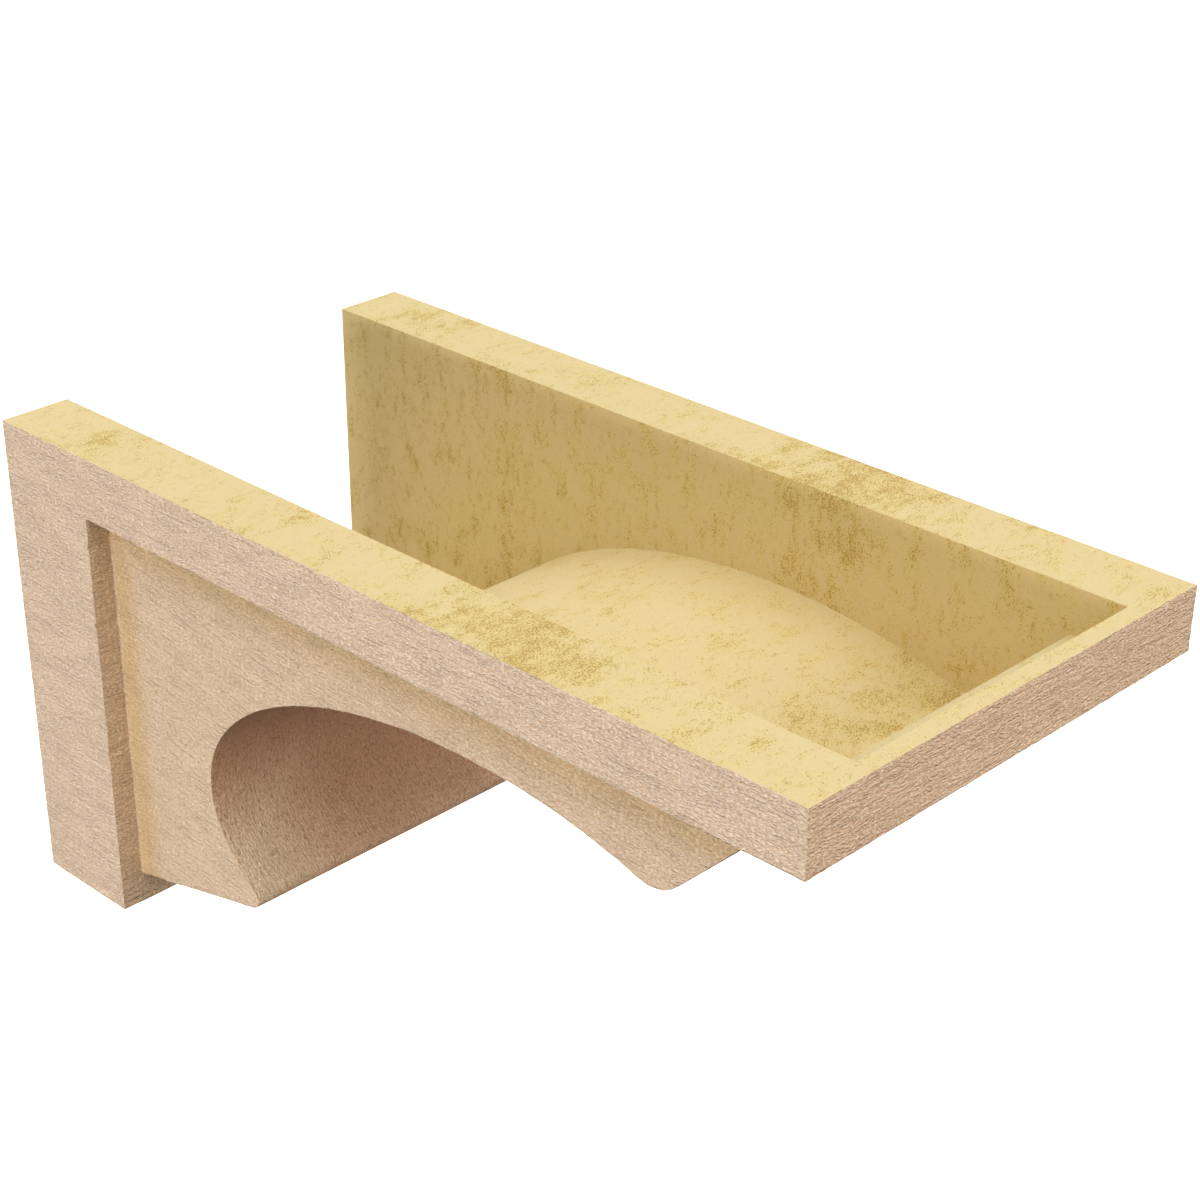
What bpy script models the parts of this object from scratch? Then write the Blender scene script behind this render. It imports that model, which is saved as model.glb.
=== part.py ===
"""Hollow moulded corbel with a rough-sawn timber look.

The casting is a thin-floored trough: two side walls, a narrow front wall and a floor
that follows the scooped underside.  Its top and its back are open.  X points away from
the wall it is fixed to, Y runs across its width and Z is up, all in metres.  The origin
is the middle of the back face of the foot, which bears on the wall.
"""
import math

import bmesh
import bpy

# Overall block
DEPTH = 0.6096            # reach from the wall
WIDTH = 0.3048
HEIGHT = 0.3048

# Raised L-shaped band on each side
SLAB = 0.0381             # height of the top slab
PLATE = 0.0762            # depth of the back plate
INSET = 0.0149            # set-back of the side panel behind the band

# Walls of the hollow
SIDE_WALL = 0.0457        # at the open top
SHELL = 0.0111            # front wall, and floor over the scooped underside
FOOT_RIM = 0.0600         # height of the solid foot where it meets the wall

# Scooped underside: one ellipse, a straight foot and a 45 degree nose
SCOOP_REACH = 0.3765      # from the wall to the middle of the ellipse
SCOOP_DROP = 0.1873       # from the top to the middle of the ellipse
SCOOP_HALF_LENGTH = 0.2207
SCOOP_HALF_HEIGHT = 0.1092
FOOT_LIFT = 0.0205        # foot above the back plate's lower edge
FOOT_ANGLE = math.radians(13.4)
FOOT_RADIUS = 0.0066
NOSE_ANGLE = math.radians(45.0)
NOSE_RADIUS = 0.0250

# Levels that follow from the sizes above
BOTTOM = -FOOT_RIM / 2
TOP = BOTTOM + HEIGHT
SLAB_UNDERSIDE = TOP - SLAB
RIM_EDGE = BOTTOM + FOOT_RIM

# Numbers of straight steps in the round stretches
SCOOP_STEPS = 144
FLOOR_STEPS = 112
CORNER_STEPS = 8

# Cutters run this far past the faces that they open
OVERCUT = 0.02

# The primed face: sand colour, matt
PRIMER_COLOUR = (0.62, 0.46, 0.33, 1.0)
PRIMER_ROUGHNESS = 0.85


def solve(gap, low, high):
    """Find where gap changes sign between low and high, by halving."""
    falling = gap(low) > 0
    for _ in range(60):
        middle = (low + high) / 2
        if (gap(middle) > 0) == falling:
            low = middle
        else:
            high = middle
    return (low + high) / 2


def scoop_point(angle, offset=0.0):
    """Point on the scoop's ellipse, or offset from it into the casting."""
    across = math.cos(angle) / SCOOP_HALF_LENGTH
    along = math.sin(angle) / SCOOP_HALF_HEIGHT
    normal_length = math.hypot(across, along)
    x = SCOOP_REACH + SCOOP_HALF_LENGTH * math.cos(angle) + offset * across / normal_length
    z = TOP - SCOOP_DROP + SCOOP_HALF_HEIGHT * math.sin(angle) + offset * along / normal_length
    return x, z


def height_over_foot(point):
    """Distance of a point above the straight foot."""
    x, z = point
    rise = z - (BOTTOM + FOOT_LIFT)
    return rise * math.cos(FOOT_ANGLE) - (x - PLATE) * math.sin(FOOT_ANGLE)


def depth_behind_nose(point):
    """Distance of a point behind the sloping nose."""
    x, z = point
    reach = DEPTH - SLAB - x
    return reach * math.sin(NOSE_ANGLE) + (z - SLAB_UNDERSIDE) * math.cos(NOSE_ANGLE)


def foot_tangent_angle():
    """Angle on the ellipse where the foot's small radius begins."""
    def gap(angle):
        return height_over_foot(scoop_point(angle, FOOT_RADIUS)) - FOOT_RADIUS
    return solve(gap, math.radians(180), math.radians(260))


def nose_tangent_angle():
    """Angle on the ellipse where the nose's radius begins."""
    def gap(angle):
        return depth_behind_nose(scoop_point(angle, NOSE_RADIUS)) - NOSE_RADIUS
    return solve(gap, math.radians(20), math.radians(90))


def ramp_tangent_angle():
    """Angle on the ellipse where the ramp up from the foot's rim touches the inner floor."""
    def gap(angle):
        x, z = scoop_point(angle, SHELL)
        step_x = -SCOOP_HALF_LENGTH * math.sin(angle)
        step_z = SCOOP_HALF_HEIGHT * math.cos(angle)
        return x * step_z - (z - RIM_EDGE) * step_x
    return solve(gap, math.radians(100), math.radians(180))


def stretch(start, end, steps, offset=0.0):
    """Points along the ellipse, or along a line at an offset from it."""
    return [scoop_point(start + (end - start) * step / steps, offset) for step in range(steps + 1)]


def arc(centre, radius, start, end):
    """Points round a corner."""
    points = []
    for step in range(CORNER_STEPS + 1):
        angle = start + (end - start) * step / CORNER_STEPS
        points.append((centre[0] + radius * math.cos(angle), centre[1] + radius * math.sin(angle)))
    return points


def direction(centre, point):
    """Angle from a centre to a point."""
    return math.atan2(point[1] - centre[1], point[0] - centre[0])


def side_outline():
    """Side view of the whole casting, from the top of the back plate round by the front."""
    nose = nose_tangent_angle()
    nose_centre = scoop_point(nose, NOSE_RADIUS)
    nose_end = direction(nose_centre, scoop_point(nose))
    foot = foot_tangent_angle()
    foot_centre = scoop_point(foot, FOOT_RADIUS)
    foot_start = direction(foot_centre, scoop_point(foot))
    outline = [(0.0, TOP), (DEPTH, TOP), (DEPTH, SLAB_UNDERSIDE), (DEPTH - SLAB, SLAB_UNDERSIDE)]
    outline += arc(nose_centre, NOSE_RADIUS, -NOSE_ANGLE, nose_end)
    outline += stretch(nose, foot, SCOOP_STEPS)[1:-1]
    outline += arc(foot_centre, FOOT_RADIUS, foot_start, FOOT_ANGLE - math.pi / 2)
    outline += [(PLATE, BOTTOM + FOOT_LIFT), (PLATE, BOTTOM), (0.0, BOTTOM)]
    return outline


def hollow_outline():
    """Side view of the hollow, run past the open back and the open top."""
    nose = nose_tangent_angle()
    nose_centre = scoop_point(nose, NOSE_RADIUS)
    nose_start = direction(nose_centre, scoop_point(nose))
    ramp = ramp_tangent_angle()
    ramp_x, ramp_z = scoop_point(ramp, SHELL)
    slope = (ramp_z - RIM_EDGE) / ramp_x
    ledge = SLAB_UNDERSIDE + SHELL
    slope_shift = SHELL / math.sin(NOSE_ANGLE)
    ledge_x = DEPTH - SLAB - slope_shift + SHELL / math.tan(NOSE_ANGLE)
    outline = [(-OVERCUT, RIM_EDGE - slope * OVERCUT)]
    outline += stretch(ramp, nose, FLOOR_STEPS, SHELL)
    outline += arc(nose_centre, NOSE_RADIUS - SHELL, nose_start, -NOSE_ANGLE)[1:]
    outline += [(ledge_x, ledge), (DEPTH - SHELL, ledge), (DEPTH - SHELL, TOP + OVERCUT)]
    outline += [(-OVERCUT, TOP + OVERCUT)]
    return outline


def prism(name, outline, width, collection):
    """Extrude a side view evenly to both sides of the middle plane, as a welded mesh."""
    curve = bpy.data.curves.new(name, 'CURVE')
    curve.dimensions = '2D'
    curve.fill_mode = 'BOTH'
    curve.extrude = width / 2
    spline = curve.splines.new('POLY')
    spline.points.add(len(outline) - 1)
    for point, (x, z) in zip(spline.points, outline):
        point.co = (x, z, 0.0, 1.0)
    spline.use_cyclic_u = True
    drawn = bpy.data.objects.new(name + "_outline", curve)
    drawn.rotation_euler = (math.pi / 2, 0.0, 0.0)
    collection.objects.link(drawn)
    bpy.context.view_layer.update()
    mesh = bpy.data.meshes.new_from_object(drawn.evaluated_get(bpy.context.evaluated_depsgraph_get()))
    weld = bmesh.new()
    weld.from_mesh(mesh)
    bmesh.ops.remove_doubles(weld, verts=weld.verts, dist=0.00001)
    bmesh.ops.recalc_face_normals(weld, faces=weld.faces)
    weld.to_mesh(mesh)
    weld.free()
    solid = bpy.data.objects.new(name, mesh)
    solid.matrix_world = drawn.matrix_world
    collection.objects.link(solid)
    bpy.data.objects.remove(drawn)
    bpy.data.curves.remove(curve)
    return solid


def block(name, low, high, collection):
    """Rectangular block between two corners."""
    mesh = bpy.data.meshes.new(name)
    shape = bmesh.new()
    bmesh.ops.create_cube(shape, size=1.0)
    for vertex in shape.verts:
        for axis in range(3):
            middle = (low[axis] + high[axis]) / 2
            vertex.co[axis] = middle + vertex.co[axis] * (high[axis] - low[axis])
    shape.to_mesh(mesh)
    shape.free()
    solid = bpy.data.objects.new(name, mesh)
    collection.objects.link(solid)
    return solid


def cut(body, cutter):
    """Take a cutter out of the body."""
    cutter.hide_render = True
    cutter.display_type = 'WIRE'
    modifier = body.modifiers.new(cutter.name, 'BOOLEAN')
    modifier.operation = 'DIFFERENCE'
    modifier.solver = 'EXACT'
    modifier.object = cutter


def primed_face():
    """Sand-coloured primer on the rough-sawn faces."""
    material = bpy.data.materials.new("sand_primer")
    material.use_nodes = True
    shader = material.node_tree.nodes["Principled BSDF"]
    shader.inputs["Base Color"].default_value = PRIMER_COLOUR
    shader.inputs["Roughness"].default_value = PRIMER_ROUGHNESS
    shader.inputs["Metallic"].default_value = 0.0
    return material


def recess(name, side, cutters):
    """Block that sets one side's panel back, below the slab and in front of the back plate."""
    near = side * (WIDTH / 2 - INSET)
    far = side * (WIDTH / 2 + OVERCUT)
    low = (PLATE, min(near, far), BOTTOM - OVERCUT)
    high = (DEPTH + OVERCUT, max(near, far), SLAB_UNDERSIDE)
    return block(name, low, high, cutters)


def build_corbel(parts, cutters):
    """The one casting: full outline, side panels set back, hollow taken out."""
    corbel = prism("corbel", side_outline(), WIDTH, parts)
    cut(corbel, recess("left_recess", 1, cutters))
    cut(corbel, recess("right_recess", -1, cutters))
    cut(corbel, prism("hollow", hollow_outline(), WIDTH - 2 * SIDE_WALL, cutters))
    corbel.data.materials.append(primed_face())
    return corbel


def main():
    for old in list(bpy.data.objects):
        bpy.data.objects.remove(old)
    parts = bpy.data.collections.new("moulded_corbel")
    cutters = bpy.data.collections.new("cutters")
    bpy.context.scene.collection.children.link(parts)
    bpy.context.scene.collection.children.link(cutters)
    build_corbel(parts, cutters)


main()
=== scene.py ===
"""Finish of the hollow moulded corbel.

The casting is one piece of rigid polyurethane foam.  Its outside was moulded against
rough-sawn timber and sprayed with a sand-coloured primer.  Its open top, its back and
its trough are bare foam.
"""
import math

import bmesh
import bpy
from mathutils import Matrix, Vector, noise


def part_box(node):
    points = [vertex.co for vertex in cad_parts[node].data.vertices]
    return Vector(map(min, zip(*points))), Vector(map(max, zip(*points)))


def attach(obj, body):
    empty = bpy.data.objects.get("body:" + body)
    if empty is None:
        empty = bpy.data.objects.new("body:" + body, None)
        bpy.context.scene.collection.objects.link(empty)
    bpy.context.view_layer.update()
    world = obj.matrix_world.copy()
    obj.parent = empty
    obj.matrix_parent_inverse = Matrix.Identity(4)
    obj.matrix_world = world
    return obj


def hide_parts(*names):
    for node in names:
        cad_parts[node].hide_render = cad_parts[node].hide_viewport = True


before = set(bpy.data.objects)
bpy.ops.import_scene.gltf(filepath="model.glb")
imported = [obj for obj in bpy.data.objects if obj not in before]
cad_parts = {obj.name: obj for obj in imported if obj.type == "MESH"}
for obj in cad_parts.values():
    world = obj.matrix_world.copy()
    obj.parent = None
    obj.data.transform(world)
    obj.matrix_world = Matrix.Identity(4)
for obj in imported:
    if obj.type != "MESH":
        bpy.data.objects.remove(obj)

bl_info = {
    "name": "Moulded corbel",
    "version": (1, 0, 0),
    "blender": (4, 5, 0),
    "location": "3D view > Sidebar > Corbel",
    "description": "Hollow foam corbel with a primed rough-sawn face",
    "category": "Object",
}

# The solid that this piece stands for, and its box
NODE = "corbel"
LOW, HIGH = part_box(NODE)
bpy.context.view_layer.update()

# Sizes of the casting that tell one face from another
SLAB = 0.0381
PLATE = 0.0762
SIDE_WALL = 0.0457
SLAB_UNDERSIDE = HIGH.z - SLAB
TROUGH_SIDE = HIGH.y - SIDE_WALL

# Places closer than this are the same place
SAME = 0.00002

# Edges of a strip that are longer than this across the casting run over its whole width
STRIP_WIDTH = 0.1

# Faces that turn by less than FLAT are one flat face, and edges under SMOOTH_FOLD look round
FLAT = math.radians(0.1)
SMOOTH_FOLD = math.radians(45)

# Names of the surfaces, in the order of their numbers
SURFACES = (
    "band", "panel", "front", "plate_front", "slab_underside", "plate_bottom",
    "underside", "back", "top", "trough_wall", "trough_floor",
)
NUMBER = {name: index for index, name in enumerate(SURFACES)}
BARE = ("back", "top", "trough_wall", "trough_floor")

# Share of the full sawn relief on each primed surface
SAWN = {
    "band": 1.25, "panel": 1.15, "front": 1.25, "plate_front": 1.9, "slab_underside": 1.0,
    "plate_bottom": 1.0, "underside": 1.4,
}

# Colour of each surface's finish; the lighter primers on the front of the back plate and on the
# underside are painted light
FINISH = {
    "band": "primer", "panel": "primer_panel", "front": "primer", "plate_front": "primer_return_lit",
    "slab_underside": "primer", "plate_bottom": "primer", "underside": "primer_foot_lit",
    "back": "foam_wall", "top": "foam", "trough_wall": "foam_wall", "trough_floor": "foam",
}

# Colour painted over a surface's finish as light and shade: painted shade on the panel and under the
# arch of the scoop, painted light on the trough's walls near its open back
PAINTED_LIGHT_AND_SHADE = {"panel": "primer_corner_shade", "underside": "primer_arch_shade", "trough_wall": "foam_wall_lit"}

# Where the painted light and shade lie: painted shade up the scoop and in from its ends, painted
# light along the trough's walls from their open back, and painted shade on the panel in front of the
# back plate and below the band, thinned right at the corner beside the plate as painted light
ARCH_RISE = (0.060, 0.140)
FOOT_RISE = (0.030, 0.090)
INTO_SCOOP = (0.015, 0.110)
FROM_OPEN_BACK = (0.05, 0.30)
CORNER_START = (-0.003, 0.005)
CORNER_END = (0.010, 0.026)
BELOW_BAND = (0.006, 0.042)

# Share of the scoop's painted shade that is left at its foot
FOOT_SHARE = 0.4

# Fall of the panel's grain towards the front
PANEL_SLOPE = 0.10

# Shifts of the grain map that keep two faces from showing the same stretch of grain
SURFACE_SHIFT = 0.7
FAR_SHIFT = 0.35

# Relief carved into the mesh: length of each form along the grain and width across it
SAW_WAVE = (0.060, 0.017)
SAW_RIPPLE = (0.0115, 0.0042)
ROUGH_PATCH = (0.050, 0.020)
TORN_LINE = (0.022, 0.0048)
TORN_PATCH = (0.018, 0.013)

# Kinks across the front of the back plate: heights above the bottom, width, and how far
# they sway over which lengths
KINKS = (0.112, 0.197, 0.250)
KINK_WIDTH = 0.0018
KINK_SWAY = 0.004
KINK_CELL = (0.012, 0.010)

# Lengths of the dents in the worn edges
WEAR_CELLS = (0.012, 0.004)

# Least share of marks on each surface: nicks in the primer, burst bubbles in the bare foam
MARKS = {
    "band": 0.20, "panel": 0.20, "front": 0.30, "plate_front": 0.45, "slab_underside": 0.2,
    "plate_bottom": 0.20, "underside": 0.85,
    "back": 0.40, "top": 0.32, "trough_wall": 0.37, "trough_floor": 0.32,
}

# Bands of more burst bubbles: distance from the wall, reach and strength
BURST = {
    "top": ((0.06, 0.055, 0.55), (0.21, 0.030, 0.50), (0.41, 0.090, 0.80), (0.53, 0.040, 0.50)),
    "trough_wall": ((0.15, 0.040, 0.50), (0.40, 0.060, 0.65)),
    "trough_floor": ((0.30, 0.040, 0.45), (0.50, 0.060, 0.65)),
}

# How far the bands of burst bubbles sway, and over which lengths
BURST_SWAY = ((0.022, 0.050), (0.014, 0.017))

# Grain of the primed skin: length along it and width across it.  The saw's marks are 1 to
# 3 mm wide.  Pits and nicks of a few tenths of a millimetre are drawn coarser, to show.
RIPPLES = (0.0095, 0.0028)
STROKES = (0.0021, 0.0011)
GROOVES = (0.0450, 0.0014)
PATCHES = (0.030, 0.014)
CRACKS = (0.0090, 0.0017)
PITS = (0.0036, 0.0018)
NICKS = (0.0045, 0.0013)
DRIFT = (0.055, 0.030)

# How far the grain drifts sideways
DRIFT_REACH = 0.002

# Heights in the primed skin's bump, in millimetres
RIPPLE_HEIGHT = 2.3
STROKE_HEIGHT = 0.50
MEAN_HEIGHT = 1.40
GROOVE_DEPTH = 0.36
GAP_DEPTH = 0.25
MILLIMETRE = 0.001

# Pattern of the bare foam, along its streaks and across them.  Its burst bubbles are a few
# tenths of a millimetre wide and are drawn at about 1.1 mm, to show.
STREAKS = (0.024, 0.015)
MOTTLE = (0.0060, 0.0045)
BUBBLES = (0.0012, 0.0010)
BUBBLE_DEPTH = 0.0002

# Cuts that give the mesh its cells: surfaces, axis across the cuts and size of the cells
SLICES = (
    (("front", "plate_front"), 1, "cell_along"),
    (("front", "plate_front"), 2, "cell_across"),
    (("top", "trough_wall"), 0, "cell_bare"),
    (("top", "trough_floor", "back"), 1, "cell_bare"),
    (("trough_wall", "back"), 2, "cell_bare"),
    (("underside", "slab_underside", "plate_bottom"), 0, "cell_along"),
    (("band", "panel"), 0, "cell_along"),
    (("underside", "slab_underside", "plate_bottom"), 1, "cell_underside"),
    (("band", "panel"), 2, "cell_across"),
)

# Stage, and the sky's strength overhead
FLOOR_SIZE = 30.0
BACKDROP_RADIUS = 14.0
BACKDROP_HEIGHT = 44.0
SKY_STRENGTH = 1.38

# Soft lights: name, azimuth and elevation in degrees, width, height, and the brightness in
# red, green and blue that they give a white face turned to them
LIGHT_DISTANCE = 2.5
LIGHTS = (
    ("side", 0, 0, 1.2, 0.5, (1.97, 1.97, 1.97)),
    ("far_side", 180, 0, 1.2, 0.5, (0.80, 0.80, 0.80)),
    ("below", 0, -90, 1.2, 1.2, (0.15, 0.15, 0.15)),
    ("rear", -90, 20, 1.5, 0.5, (0.69, 0.69, 0.69)),
    ("front", 90, 15, 1.5, 1.5, (1.52, 1.30, 1.11)),
)

# Point that the camera looks at, and its shift of the frame
CAMERA_AIM = (0.29554, 0.01766, 0.15753)
CAMERA_SHIFT = (0.025, 0.0583)

# Settings of nodes
SMOOTH = {"interpolation_type": 'SMOOTHSTEP'}
ADD = {"operation": 'ADD'}
MULTIPLY = {"operation": 'MULTIPLY'}
MULTIPLY_ADD = {"operation": 'MULTIPLY_ADD'}
MAXIMUM = {"operation": 'MAXIMUM'}
COLOUR = {"data_type": 'RGBA'}

# Number of a Mix node's colour output
RESULT_COLOUR = 2

# Maps and attributes that the materials read
GRAIN_MAP = "grain"
BAKE_MAP = "OFBake"
SURFACE_NUMBER = "surface"
SAWN_DEPTH = "sawn_depth"
# Colour of the finish at each corner, with the painted light and shade in it
FINISH_LIGHT_AND_SHADE = "finish_light_and_shade"
MARK_SHARE = "mark_share"


class CorbelSizes(bpy.types.PropertyGroup):
    """Sizes of the relief on the casting."""

    cell_along: bpy.props.FloatProperty(
        name="Cell along the grain",
        description="Length of the mesh cells along the grain",
        default=0.0040,
        unit='LENGTH',
    )
    cell_across: bpy.props.FloatProperty(
        name="Cell across the grain",
        description="Width of the mesh cells across the grain",
        default=0.0014,
        unit='LENGTH',
    )
    cell_underside: bpy.props.FloatProperty(
        name="Cell of the underside",
        description="Width of the mesh cells across the grain of the scoop",
        default=0.0018,
        unit='LENGTH',
    )
    cell_bare: bpy.props.FloatProperty(
        name="Cell of the bare foam",
        description="Size of the mesh cells on the bare foam",
        default=0.0070,
        unit='LENGTH',
    )
    wave_depth: bpy.props.FloatProperty(
        name="Wave depth",
        description="Depth of the long waves left by the saw",
        default=0.00006,
        unit='LENGTH',
        precision=5,
    )
    ripple_depth: bpy.props.FloatProperty(
        name="Ripple depth",
        description="Depth of the short ripples along the grain",
        default=0.00011,
        unit='LENGTH',
        precision=5,
    )
    tear_depth: bpy.props.FloatProperty(
        name="Tear depth",
        description="Depth of the torn grooves in the grain",
        default=0.00024,
        unit='LENGTH',
        precision=5,
    )
    kink_depth: bpy.props.FloatProperty(
        name="Kink depth",
        description="Depth of the kinks across the front of the back plate",
        default=0.0016,
        unit='LENGTH',
        precision=5,
    )
    edge_wear: bpy.props.FloatProperty(
        name="Edge wear",
        description="How far the primed edges are worn back",
        default=0.00022,
        unit='LENGTH',
        precision=5,
    )


class CorbelColours(bpy.types.PropertyGroup):
    """Colours of the two finishes, with the painted light and shade laid on them, as sRGB hex values.
    """

    primer: bpy.props.StringProperty(
        name="Primer",
        description="Sand-coloured primer on the sawn faces",
        default="f9e2c9",
    )
    primer_panel: bpy.props.StringProperty(
        name="Primer on the panel",
        description="Slightly warmer primer on the side panel",
        default="f8dfc3",
    )
    # Painted shade: darker, yellower primer in the inner corners beside the back plate and below the
    # band
    primer_corner_shade: bpy.props.StringProperty(
        name="Thin primer",
        description="Primer in the inner corners, where the foam's yellow shows through",
        default="ebcea0",
    )
    # Painted light: the lightest primer, lifting the front of the back plate out of its shade
    primer_return_lit: bpy.props.StringProperty(
        name="Primer on the return",
        description="Primer on the front of the back plate",
        default="ffe6c6",
    )
    # Painted light: lighter primer over the underside, showing where the scoop's painted shade thins
    # out towards its foot and ends
    primer_foot_lit: bpy.props.StringProperty(
        name="Primer on the foot",
        description="Lighter primer where the scoop runs out to its foot",
        default="ffe9ca",
    )
    # Painted shade: darker, warmer primer up the arch of the scoop and in from its ends
    primer_arch_shade: bpy.props.StringProperty(
        name="Primer in the scoop",
        description="Warmer primer under the arch of the scoop",
        default="e5b795",
    )
    # Painted shade in the lows between the strokes of the grain
    primer_low_shade: bpy.props.StringProperty(
        name="Tint of the lows",
        description="Tint that browns the primer in the lows of the grain",
        default="e8c7a0",
    )
    # Painted shade at the bottom of the cracks, pits and nicks
    primer_gap_shade: bpy.props.StringProperty(
        name="Primer in the cracks",
        description="Primer at the bottom of the cracks and pits",
        default="a47b5a",
    )
    foam: bpy.props.StringProperty(
        name="Bare foam",
        description="Bare polyurethane foam where it is smooth",
        default="e6d19a",
    )
    foam_wall: bpy.props.StringProperty(
        name="Trough walls",
        description="Bare foam on the walls of the trough",
        default="e6d09a",
    )
    # Painted light: paler bare foam on the trough's walls near their open back
    foam_wall_lit: bpy.props.StringProperty(
        name="Pale walls",
        description="Paler bare foam on the trough's walls near its open back",
        default="f0daa1",
    )
    foam_lemon: bpy.props.StringProperty(
        name="Lemon foam",
        description="Bare foam in the streaks with burst bubbles",
        default="e7d07c",
    )
    foam_mottle: bpy.props.StringProperty(
        name="Blotches",
        description="Olive blotches in the bare foam",
        default="cdb06c",
    )
    # Painted shade inside the burst bubbles
    foam_pit_shade: bpy.props.StringProperty(
        name="Burst bubbles",
        description="Insides of the burst bubbles",
        default="b07c40",
    )


class StageSettings(bpy.types.PropertyGroup):
    """Floor, lights and camera."""

    floor_drop: bpy.props.FloatProperty(
        name="Floor below the casting",
        description="How far the floor lies below the held casting",
        default=1.60,
        unit='LENGTH',
    )
    azimuth: bpy.props.FloatProperty(
        name="Camera azimuth",
        description="Turn of the camera from the right side towards the front",
        default=math.radians(44.808),
        subtype='ANGLE',
    )
    elevation: bpy.props.FloatProperty(
        name="Camera elevation",
        description="Angle of the camera above the horizon",
        default=math.radians(28.477),
        subtype='ANGLE',
    )
    distance: bpy.props.FloatProperty(
        name="Camera distance",
        description="Distance from the camera to its aim",
        default=1.4498,
        unit='LENGTH',
    )
    lens: bpy.props.FloatProperty(
        name="Lens",
        description="Focal length of the camera in millimetres",
        default=76.07,
    )


def linear_colour(code):
    """Turn an sRGB hex value into the linear colour that a shader takes."""
    channels = [int(code[start:start + 2], 16) / 255 for start in (0, 2, 4)]
    linear = [c / 12.92 if c <= 0.04045 else ((c + 0.055) / 1.055) ** 2.4 for c in channels]
    return (*linear, 1.0)


def add_node(tree, kind, settings=None, **inputs):
    """Add a node, set its properties and fill its inputs with values, sockets or nodes.

    An input is named, with _ for a space, or numbered after a _.  Of a node, the first
    output that is in use is linked.
    """
    node = tree.nodes.new(kind)
    for name, value in (settings or {}).items():
        setattr(node, name, value)
    for name, value in inputs.items():
        socket = node.inputs[int(name[1:]) if name[0] == "_" else name.replace("_", " ")]
        if isinstance(value, bpy.types.Node):
            value = next(output for output in value.outputs if output.enabled)
        if isinstance(value, bpy.types.NodeSocket):
            tree.links.new(value, socket)
        else:
            socket.default_value = value
    return node


def select_only(piece):
    """Make one object the selected and active one."""
    bpy.ops.object.select_all(action='DESELECT')
    piece.select_set(True)
    bpy.context.view_layer.objects.active = piece


def merged_copy(name):
    """Copy the solid's mesh, merge its loose triangles and dissolve them into flat faces."""
    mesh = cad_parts[NODE].data.copy()
    mesh.name = name
    mesh.materials.clear()
    mesh.uv_layers.new(name=BAKE_MAP)
    piece = bpy.data.objects.new(name, mesh)
    bpy.context.scene.collection.objects.link(piece)
    select_only(piece)
    bpy.ops.mesh.customdata_custom_splitnormals_clear()
    bpy.ops.object.mode_set(mode='EDIT')
    bpy.ops.mesh.select_all(action='SELECT')
    bpy.ops.mesh.remove_doubles(threshold=SAME)
    bpy.ops.mesh.dissolve_limited(angle_limit=FLAT)
    bpy.ops.uv.smart_project(angle_limit=1.15, island_margin=0.004, scale_to_bounds=True)
    bpy.ops.object.mode_set(mode='OBJECT')
    return piece


def surface_of(face):
    """Name of the surface that a face of the merged solid belongs to."""
    normal = face.normal
    middle = face.calc_center_median()
    reach = max(abs(corner.co.y) for corner in face.verts)
    if abs(normal.y) > 0.5:
        if abs(middle.y) < TROUGH_SIDE + SAME:
            return "trough_wall"
        return "band" if abs(middle.y) > HIGH.y - SAME else "panel"
    if middle.z > HIGH.z - SAME:
        return "top"
    if reach < TROUGH_SIDE + SAME:
        return "trough_floor"
    if middle.x < LOW.x + SAME:
        return "back"
    if middle.x > HIGH.x - SAME:
        return "front"
    if middle.z < LOW.z + SAME:
        return "plate_bottom"
    if abs(middle.z - SLAB_UNDERSIDE) < SAME:
        return "slab_underside"
    return "plate_front" if abs(middle.x - PLATE) < SAME else "underside"


def across_edges(face):
    """The two edges of a strip that run across the casting."""
    return [edge for edge in face.edges if abs((edge.verts[0].co - edge.verts[1].co).y) > STRIP_WIDTH]


def unroll(faces):
    """Distance along a chain of strips, for each strip's corners, from its lower back end."""
    chain = set(faces)
    ends = [
        (edge, face) for face in chain for edge in across_edges(face)
        if not all(other in chain for other in edge.link_faces)
    ]
    edge, face = min(ends, key=lambda end: end[0].verts[0].co.x)
    distance = 0.0
    run = {}
    while face is not None:
        far = next(other for other in across_edges(face) if other is not edge)
        step = far.verts[0].co - edge.verts[0].co
        step.y = 0.0
        for corner in face.loops:
            run[corner] = distance + (step.length if corner.vert in far.verts else 0.0)
        distance += step.length
        edge = far
        face = next((other for other in far.link_faces if other in chain and other is not face), None)
    return run


def grain_spot(name, place, run):
    """Place on the grain map, in metres: along the grain or the streaks, then across it."""
    x, y, z = place
    spots = {
        "band": (x, z),
        "panel": (x - PANEL_SLOPE * z, z + PANEL_SLOPE * x),
        "front": (y, z - x),
        "plate_front": (y, z - x),
        "plate_bottom": (y, z - x),
        "slab_underside": (x, y),
        "underside": (run, y),
        "back": (z, y),
        "top": (y, x),
        "trough_wall": (z, x),
        "trough_floor": (y, run),
    }
    return spots[name]


def map_the_grain(sheet):
    """Number each face's surface, choose its material and lay the grain map."""
    number = sheet.faces.layers.int.new(SURFACE_NUMBER)
    grain = sheet.loops.layers.uv.new(GRAIN_MAP)
    groups = {name: [] for name in SURFACES}
    for face in sheet.faces:
        name = surface_of(face)
        groups[name].append(face)
        face[number] = NUMBER[name]
        face.material_index = 1 if name in BARE else 0
    run = unroll(groups["underside"]) | unroll(groups["trough_floor"])
    for name, faces in groups.items():
        for face in faces:
            far = face.calc_center_median().y > 0
            shift = SURFACE_SHIFT * NUMBER[name] + (FAR_SHIFT if far else 0.0)
            for corner in face.loops:
                along, across = grain_spot(name, corner.vert.co, run.get(corner, 0.0))
                corner[grain].uv = (along, across + shift)


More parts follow.
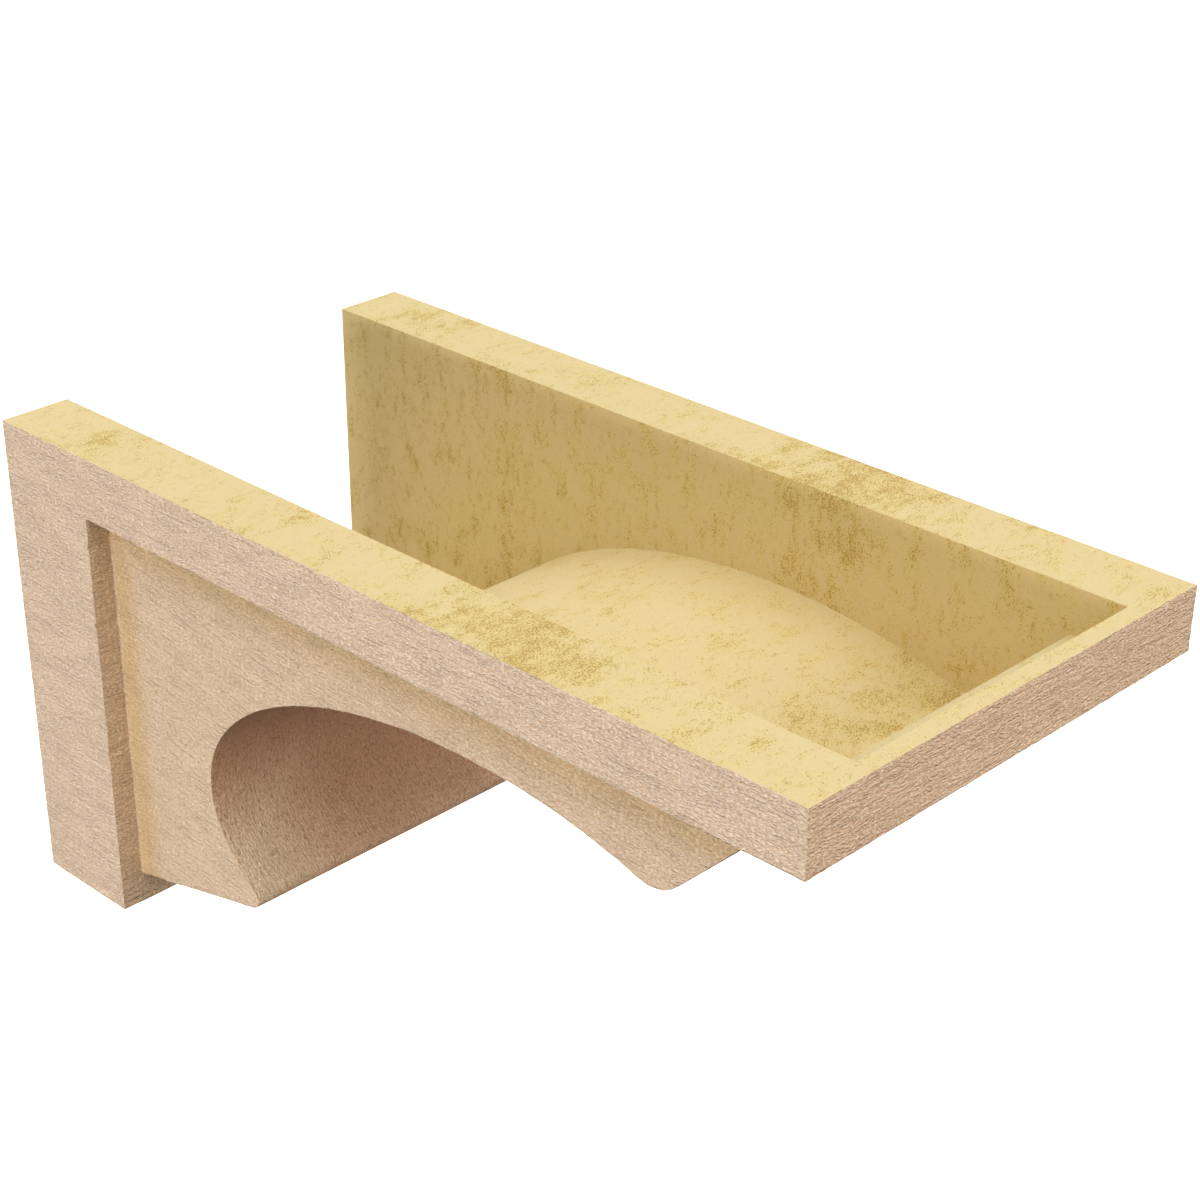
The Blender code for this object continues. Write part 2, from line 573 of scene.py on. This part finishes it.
def slice_faces(sheet, names, axis, spacing):
    """Cut the faces of some surfaces with evenly spaced planes across one axis."""
    number = sheet.faces.layers.int[SURFACE_NUMBER]
    wanted = [NUMBER[name] for name in names]
    direction = Vector((0.0, 0.0, 0.0))
    direction[axis] = 1.0
    ahead = [face for face in sheet.faces if face[number] in wanted]
    count = round((HIGH[axis] - LOW[axis]) / spacing)
    for step in range(1, count):
        place = LOW.lerp(HIGH, step / count)
        parts = dict.fromkeys(ahead)
        for face in ahead:
            parts.update(dict.fromkeys(face.edges))
            parts.update(dict.fromkeys(face.verts))
        cut = bmesh.ops.bisect_plane(
            sheet, geom=list(parts), dist=spacing / 5, plane_co=place, plane_no=direction,
        )
        ahead = [
            part for part in cut["geom"]
            if isinstance(part, bmesh.types.BMFace) and part.calc_center_median()[axis] > place[axis]
        ]


def above(value, low, high):
    """Smooth step from 0 at low to 1 at high."""
    share = min(max((value - low) / (high - low), 0.0), 1.0)
    return share * share * (3 - 2 * share)


def relief_noise(along, across, cell, seed):
    """Noise on the grain map, from -1 to 1, with cells of a real size."""
    return noise.noise((along / cell[0], across / cell[1], seed))


def sawn_depth(along, across, sizes):
    """Depth of the relief below the flat face, at a place on the grain map."""
    wave = relief_noise(along, across, SAW_WAVE, 1.7)
    ripple = relief_noise(along, across, SAW_RIPPLE, 5.1)
    rough = 0.35 + 0.65 * above(relief_noise(along, across, ROUGH_PATCH, 9.3), -0.1, 0.35)
    line = abs(relief_noise(along, across, TORN_LINE, 13.1))
    torn = above(relief_noise(along, across, TORN_PATCH, 17.7), 0.15, 0.45)
    depth = sizes.wave_depth * (0.5 + 0.5 * wave)
    depth += sizes.ripple_depth * rough * (0.5 + 0.5 * ripple)
    return depth + sizes.tear_depth * torn * above(-line, -0.10, 0.0)


def kink_depth(place, sizes):
    """Depth of the kinks that run level across the front of the back plate."""
    depth = 0.0
    for height in KINKS:
        sway = KINK_SWAY * noise.noise((place.y / KINK_CELL[0], height / KINK_CELL[1], 3.3))
        step = (place.z - LOW.z - height - sway) / KINK_WIDTH
        depth = max(depth, sizes.kink_depth * math.exp(-step * step))
    return depth


def light_and_shade_share(name, place):
    """Share of a surface's painted light and shade colour at a place, from 0 to 1."""
    # Painted shade up the arch of the scoop and in from its ends, partly left at its foot
    if name == "underside":
        rise = place.z - LOW.z
        inside = above(HIGH.y - abs(place.y), *INTO_SCOOP)
        foot = FOOT_SHARE + (1 - FOOT_SHARE) * above(rise, *FOOT_RISE)
        return max(above(rise, *ARCH_RISE), inside * foot)
    # Painted light on the trough's walls, strongest at their open back
    if name == "trough_wall":
        return 1 - above(place.x, *FROM_OPEN_BACK)
    # Painted shade beside the back plate and below the band; right at the corner it is thinned as
    # painted light against the lamps' shadow there
    in_front = place.x - PLATE
    beside_plate = (1 - above(in_front, *CORNER_END)) * above(in_front, *CORNER_START)
    below_band = 1 - above(SLAB_UNDERSIDE - place.z, *BELOW_BAND)
    return max(beside_plate, below_band)


def mark_share(name, place):
    """How much of a surface is nicked or burst at a place, from 0 to 1."""
    sway = sum(reach * noise.noise(place / length) for reach, length in BURST_SWAY)
    share = MARKS[name]
    for middle, reach, strength in BURST.get(name, ()):
        step = (place.x - middle + sway) / reach
        share = max(share, strength * math.exp(-step * step))
    return share


def write_finish(sheet, colours):
    """Write how deep each face is sawn, and the colour with its painted light and shade and the share
    of marks at its corners.
    """
    number = sheet.faces.layers.int[SURFACE_NUMBER]
    sawn = sheet.faces.layers.float.new(SAWN_DEPTH)
    finish = sheet.loops.layers.float_color.new(FINISH_LIGHT_AND_SHADE)
    marks = sheet.loops.layers.float.new(MARK_SHARE)
    base = {name: Vector(linear_colour(getattr(colours, FINISH[name]))) for name in FINISH}
    painted_colour = {name: Vector(linear_colour(getattr(colours, PAINTED_LIGHT_AND_SHADE[name]))) for name in PAINTED_LIGHT_AND_SHADE}
    for face in sheet.faces:
        name = SURFACES[face[number]]
        face[sawn] = SAWN.get(name, 0.0)
        for corner in face.loops:
            place = corner.vert.co
            corner[marks] = mark_share(name, place)
            if name in PAINTED_LIGHT_AND_SHADE:
                corner[finish] = base[name].lerp(painted_colour[name], light_and_shade_share(name, place))
            else:
                corner[finish] = base[name]


def is_arris(edge, number):
    """Whether an edge parts two different surfaces."""
    return len({face[number] for face in edge.link_faces}) > 1


def carve_relief(sheet, sizes):
    """Sink every vertex below each surface that it lies on, by that surface's relief."""
    number = sheet.faces.layers.int[SURFACE_NUMBER]
    grain = sheet.loops.layers.uv[GRAIN_MAP]
    moves = []
    for vertex in sheet.verts:
        found = {}
        for corner in vertex.link_loops:
            side = found.setdefault(corner.face[number], [Vector(), corner[grain].uv])
            side[0] += corner.face.normal
        wear = 0.0
        if any(edge.is_convex and is_arris(edge, number) for edge in vertex.link_edges):
            rough = sum(noise.noise(vertex.co / length) for length in WEAR_CELLS)
            wear = sizes.edge_wear * max(0.6 + 0.7 * rough, 0.0)
        move = Vector()
        for kind, (normal, place) in found.items():
            share = SAWN.get(SURFACES[kind], 0.0)
            if share == 0.0:
                continue
            depth = min(share, 1.0) * sawn_depth(place[0], place[1], sizes) + wear
            if SURFACES[kind] == "plate_front":
                depth += kink_depth(vertex.co, sizes)
            move -= normal.normalized() * depth
        moves.append(move)
    for vertex, move in zip(sheet.verts, moves):
        vertex.co += move


def grain_noise(tree, place, cell, seed, detail):
    """Noise on the grain map with cells of a real length along and across the grain."""
    cells = add_node(
        tree, "ShaderNodeMapping",
        Vector=place, Location=(seed, seed / 3, seed), Scale=(1 / cell[0], 1 / cell[1], 1.0),
    )
    return add_node(
        tree, "ShaderNodeTexNoise", Vector=cells, Scale=1.0, Detail=detail, Roughness=0.6,
    )


def grain_marks(tree, place, cell, seed, low, high, detail=1.0, more=None):
    """Marks along the grain: its noise, raised by a share times an amount, from low to high."""
    field = grain_noise(tree, place, cell, seed, detail)
    if more:
        field = add_node(tree, "ShaderNodeMath", MULTIPLY_ADD, _0=more[0], _1=more[1], _2=field)
    return add_node(tree, "ShaderNodeMapRange", SMOOTH, Value=field, From_Min=low, From_Max=high)


def drifting_grain(tree):
    """The grain map, with its grain drifting sideways in long waves."""
    place = add_node(tree, "ShaderNodeUVMap", {"uv_map": GRAIN_MAP})
    waves = grain_noise(tree, place, DRIFT, 31.0, 1.0)
    sideways = add_node(tree, "ShaderNodeMath", MULTIPLY, _0=waves, _1=DRIFT_REACH)
    step = add_node(tree, "ShaderNodeCombineXYZ", Y=sideways)
    return add_node(tree, "ShaderNodeVectorMath", ADD, _0=place, _1=step)


def new_material(name, roughness):
    """Material with an empty Principled shader for a matt plastic."""
    material = bpy.data.materials.new(name)
    material.use_nodes = True
    shader = material.node_tree.nodes["Principled BSDF"]
    shader.inputs["Metallic"].default_value = 0.0
    shader.inputs["IOR"].default_value = 1.5
    shader.inputs["Roughness"].default_value = roughness
    return material, material.node_tree, shader


def primed_sawn_foam(colours):
    """Primer sprayed on polyurethane foam that was moulded against rough-sawn timber."""
    # It looks matt and sandy.  Ripples, short strokes and long grooves run along the grain and catch
    # the light, painted brown shade lies in the lows, and cracks, pits and nicks get the darkest
    # painted shade.
    material, tree, shader = new_material("primed_sawn_foam", 0.88)
    place = drifting_grain(tree)
    base = add_node(tree, "ShaderNodeAttribute", {"attribute_name": FINISH_LIGHT_AND_SHADE}).outputs["Color"]
    sawn = add_node(tree, "ShaderNodeAttribute", {"attribute_name": SAWN_DEPTH}).outputs["Fac"]
    marks = add_node(tree, "ShaderNodeAttribute", {"attribute_name": MARK_SHARE}).outputs["Fac"]

    # Relief: waves about a mean height, stronger in patches, with grooves and gaps in them
    ripples = grain_noise(tree, place, RIPPLES, 3.0, 3.0)
    strokes = grain_marks(tree, place, STROKES, 7.0, 0.36, 0.62)
    grooves = grain_marks(tree, place, GROOVES, 37.0, 0.46, 0.32)
    patches = add_node(
        tree, "ShaderNodeMapRange", SMOOTH,
        Value=grain_noise(tree, place, PATCHES, 11.0, 1.5),
        From_Min=0.36, From_Max=0.64, To_Min=0.90, To_Max=1.15,
    )
    cracks = grain_marks(tree, place, CRACKS, 19.0, 0.29, 0.21)
    pits = grain_marks(tree, place, PITS, 23.0, 0.25, 0.18, detail=0.5)
    nicks = grain_marks(tree, place, NICKS, 29.0, 0.66, 0.75, more=(marks, 0.10))
    torn = add_node(tree, "ShaderNodeMath", MULTIPLY, _0=cracks, _1=sawn)
    holes = add_node(tree, "ShaderNodeMath", MAXIMUM, _0=pits, _1=nicks)
    gaps = add_node(tree, "ShaderNodeMath", MAXIMUM, _0=torn, _1=holes)
    brushed = add_node(
        tree, "ShaderNodeMath", MULTIPLY_ADD, _0=strokes, _1=STROKE_HEIGHT, _2=-MEAN_HEIGHT,
    )
    waves = add_node(
        tree, "ShaderNodeMath", MULTIPLY_ADD, _0=ripples, _1=RIPPLE_HEIGHT, _2=brushed,
    )
    grooved = add_node(
        tree, "ShaderNodeMath", MULTIPLY_ADD, _0=grooves, _1=-GROOVE_DEPTH, _2=waves,
    )
    patchy = add_node(tree, "ShaderNodeMath", MULTIPLY, _0=grooved, _1=patches)
    relief = add_node(tree, "ShaderNodeMath", MULTIPLY, _0=patchy, _1=sawn)
    height = add_node(tree, "ShaderNodeMath", MULTIPLY_ADD, _0=gaps, _1=-GAP_DEPTH, _2=relief)
    bump = add_node(tree, "ShaderNodeBump", Strength=1.0, Distance=MILLIMETRE, Height=height)

    # Colour: painted brown shade between the strokes, the darkest painted shade in the gaps
    lows = add_node(tree, "ShaderNodeMath", MULTIPLY_ADD, _0=strokes, _1=-0.6, _2=0.6)
    tint = add_node(
        tree, "ShaderNodeMix", COLOUR,
        _0=lows, _6=linear_colour("ffffff"), _7=linear_colour(colours.primer_low_shade),
    )
    tinted = add_node(tree, "ShaderNodeVectorMath", MULTIPLY, _0=base, _1=tint)
    # Painted shade in the cracks, pits and nicks, deeper where the marks are thick
    darkest = add_node(tree, "ShaderNodeMath", MULTIPLY_ADD, _0=marks, _1=0.3, _2=0.22)
    dark = add_node(tree, "ShaderNodeMath", MULTIPLY, _0=gaps, _1=darkest)
    primed = add_node(
        tree, "ShaderNodeMix", COLOUR, _0=dark, _6=tinted, _7=linear_colour(colours.primer_gap_shade),
    )
    tree.links.new(primed.outputs[RESULT_COLOUR], shader.inputs["Base Color"])
    tree.links.new(bump.outputs["Normal"], shader.inputs["Normal"])
    return material


def bare_polyurethane_foam(colours):
    """Rigid polyurethane foam, left bare as it came from the mould."""
    # It looks matt and straw yellow, with olive blotches.  In loose bands it turns lemon, and there
    # the burst bubbles pepper it with small brown dots of painted shade.
    material, tree, shader = new_material("bare_polyurethane_foam", 0.75)
    place = add_node(tree, "ShaderNodeUVMap", {"uv_map": GRAIN_MAP})
    base = add_node(tree, "ShaderNodeAttribute", {"attribute_name": FINISH_LIGHT_AND_SHADE}).outputs["Color"]
    band = add_node(tree, "ShaderNodeAttribute", {"attribute_name": MARK_SHARE}).outputs["Fac"]

    # How busy the foam is with burst bubbles, and the bubbles themselves
    streaks = grain_noise(tree, place, STREAKS, 9.0, 4.0)
    mottle = grain_noise(tree, place, MOTTLE, 17.0, 3.0)
    banded = add_node(tree, "ShaderNodeMath", MULTIPLY_ADD, _0=band, _1=0.5, _2=streaks)
    spread = add_node(tree, "ShaderNodeMath", MULTIPLY_ADD, _0=mottle, _1=0.5, _2=banded)
    busy = add_node(tree, "ShaderNodeMapRange", SMOOTH, Value=spread, From_Min=0.80, From_Max=1.36)
    bubbles = grain_marks(tree, place, BUBBLES, 5.0, 0.66, 0.78, more=(busy, 0.24))
    bump = add_node(
        tree, "ShaderNodeBump", {"invert": True},
        Strength=1.0, Distance=BUBBLE_DEPTH, Height=bubbles,
    )

    # Colour: lemon where it is busy, then the blotches, then painted shade in the bubbles
    lemon = add_node(
        tree, "ShaderNodeMix", COLOUR, _0=busy, _6=base, _7=linear_colour(colours.foam_lemon),
    )
    olive = add_node(tree, "ShaderNodeMath", MULTIPLY_ADD, _0=busy, _1=0.10, _2=mottle)
    blotches = add_node(
        tree, "ShaderNodeMapRange", SMOOTH, Value=olive, From_Min=0.56, From_Max=0.74,
    )
    strongest = add_node(tree, "ShaderNodeMath", MULTIPLY_ADD, _0=band, _1=0.15, _2=0.25)
    blotched = add_node(tree, "ShaderNodeMath", MULTIPLY, _0=blotches, _1=strongest)
    mottled = add_node(
        tree, "ShaderNodeMix", COLOUR,
        _0=blotched, _6=lemon, _7=linear_colour(colours.foam_mottle),
    )
    burst = add_node(tree, "ShaderNodeMath", MULTIPLY, _0=bubbles, _1=0.65)
    bare = add_node(
        tree, "ShaderNodeMix", COLOUR, _0=burst, _6=mottled, _7=linear_colour(colours.foam_pit_shade),
    )
    tree.links.new(bare.outputs[RESULT_COLOUR], shader.inputs["Base Color"])
    tree.links.new(bump.outputs["Normal"], shader.inputs["Normal"])
    return material


class CORBEL_OT_casting(bpy.types.Operator):
    """Cast the corbel and give it its sawn relief and finishes."""

    bl_idname = "corbel.casting"
    bl_label = "Cast the corbel"

    def execute(self, context):
        sizes = context.scene.corbel_sizes
        colours = context.scene.corbel_colours
        piece = merged_copy("corbel_casting")
        sheet = bmesh.new()
        sheet.from_mesh(piece.data)
        map_the_grain(sheet)
        for names, axis, cell in SLICES:
            slice_faces(sheet, names, axis, getattr(sizes, cell))
        write_finish(sheet, colours)
        carve_relief(sheet, sizes)
        sheet.to_mesh(piece.data)
        sheet.free()
        piece.data.materials.append(primed_sawn_foam(colours))
        piece.data.materials.append(bare_polyurethane_foam(colours))
        select_only(piece)
        bpy.ops.object.shade_smooth_by_angle(angle=SMOOTH_FOLD)
        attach(piece, "root")
        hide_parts(NODE)
        return {'FINISHED'}


def pale_floor(height):
    """Wide pale floor and a round backdrop, lit from behind and seen by the camera only."""
    material, tree, shader = new_material("pale_backdrop", 0.9)
    shader.inputs["Base Color"].default_value = linear_colour("f5f4f2")
    shader.inputs["Emission Color"].default_value = linear_colour("ffffff")
    shader.inputs["Emission Strength"].default_value = 1.0
    bpy.ops.object.select_all(action='DESELECT')
    bpy.ops.mesh.primitive_plane_add(size=FLOOR_SIZE, location=(0.0, 0.0, height))
    floor = bpy.context.object
    floor.name = "floor"
    bpy.ops.mesh.primitive_cylinder_add(
        vertices=96, radius=BACKDROP_RADIUS, depth=BACKDROP_HEIGHT, end_fill_type='NOTHING',
        location=(0.0, 0.0, height),
    )
    backdrop = bpy.context.object
    backdrop.name = "backdrop"
    for ground in (floor, backdrop):
        ground.data.materials.append(material)
        ground.visible_diffuse = False
        ground.visible_glossy = False
        ground.visible_shadow = False


def sight(azimuth, elevation):
    """Direction from the casting towards an azimuth and an elevation."""
    level = math.cos(elevation)
    return Vector((math.sin(azimuth) * level, -math.cos(azimuth) * level, math.sin(elevation)))


def soft_light(name, azimuth, elevation, width, height, brightness):
    """Area light aimed at the middle of the casting, with a brightness for each colour there."""
    strongest = max(brightness)
    light = bpy.data.lights.new(name, 'AREA')
    light.shape = 'RECTANGLE'
    light.size = width
    light.size_y = height
    light.energy = math.pi * LIGHT_DISTANCE ** 2 * strongest
    light.color = [share / strongest for share in brightness]
    lamp = bpy.data.objects.new(name, light)
    back = sight(azimuth, elevation)
    lamp.location = (LOW + HIGH) / 2 + back * LIGHT_DISTANCE
    lamp.rotation_euler = (-back).to_track_quat('-Z', 'Y').to_euler()
    bpy.context.scene.collection.objects.link(lamp)


def overhead_dome(scene):
    """Soft light from the sky, growing from nothing at the horizon to full overhead."""
    world = bpy.data.worlds.new("overhead_dome")
    world.use_nodes = True
    tree = world.node_tree
    place = add_node(tree, "ShaderNodeTexCoord")
    height = add_node(tree, "ShaderNodeSeparateXYZ", _0=place.outputs["Generated"])
    rise = add_node(
        tree, "ShaderNodeMapRange",
        Value=height.outputs["Z"], From_Min=0.0, From_Max=1.0, To_Min=0.0, To_Max=SKY_STRENGTH,
    )
    sky = tree.nodes["Background"]
    sky.inputs["Color"].default_value = linear_colour("ffffff")
    tree.links.new(rise.outputs["Result"], sky.inputs["Strength"])
    scene.world = world


class CORBEL_OT_stage(bpy.types.Operator):
    """Set the floor, the soft studio light and the camera."""

    bl_idname = "corbel.stage"
    bl_label = "Set the stage"

    def execute(self, context):
        scene = context.scene
        stage = scene.corbel_stage
        pale_floor(LOW.z - stage.floor_drop)
        overhead_dome(scene)
        for name, azimuth, elevation, width, height, brightness in LIGHTS:
            soft_light(
                name, math.radians(azimuth), math.radians(elevation), width, height, brightness,
            )
        camera = bpy.data.cameras.new("camera")
        camera.lens = stage.lens
        camera.shift_x, camera.shift_y = CAMERA_SHIFT
        eye = bpy.data.objects.new("camera", camera)
        back = sight(stage.azimuth, stage.elevation)
        eye.location = Vector(CAMERA_AIM) + back * stage.distance
        eye.rotation_euler = (-back).to_track_quat('-Z', 'Y').to_euler()
        scene.collection.objects.link(eye)
        scene.camera = eye
        scene.view_settings.view_transform = 'Standard'
        return {'FINISHED'}


class CORBEL_PT_panel(bpy.types.Panel):
    """Sizes, colours and steps of the corbel."""

    bl_idname = "CORBEL_PT_panel"
    bl_label = "Moulded corbel"
    bl_space_type = 'VIEW_3D'
    bl_region_type = 'UI'
    bl_category = "Corbel"

    def draw(self, context):
        scene = context.scene
        for group in (scene.corbel_sizes, scene.corbel_colours, scene.corbel_stage):
            box = self.layout.box()
            for name in group.__annotations__:
                box.prop(group, name)
        for step in (CORBEL_OT_casting, CORBEL_OT_stage):
            self.layout.operator(step.bl_idname)


CLASSES = (
    CorbelSizes, CorbelColours, StageSettings,
    CORBEL_OT_casting, CORBEL_OT_stage, CORBEL_PT_panel,
)


def register():
    """Register the classes and hang the settings on the scene."""
    for kind in CLASSES:
        bpy.utils.register_class(kind)
    bpy.types.Scene.corbel_sizes = bpy.props.PointerProperty(type=CorbelSizes)
    bpy.types.Scene.corbel_colours = bpy.props.PointerProperty(type=CorbelColours)
    bpy.types.Scene.corbel_stage = bpy.props.PointerProperty(type=StageSettings)


def unregister():
    """Take the settings off the scene and unregister the classes."""
    del bpy.types.Scene.corbel_stage
    del bpy.types.Scene.corbel_colours
    del bpy.types.Scene.corbel_sizes
    for kind in reversed(CLASSES):
        bpy.utils.unregister_class(kind)


def main():
    """Make the casting and its stage."""
    register()
    bpy.ops.corbel.casting()
    bpy.ops.corbel.stage()


if __name__ == "__main__":
    main()
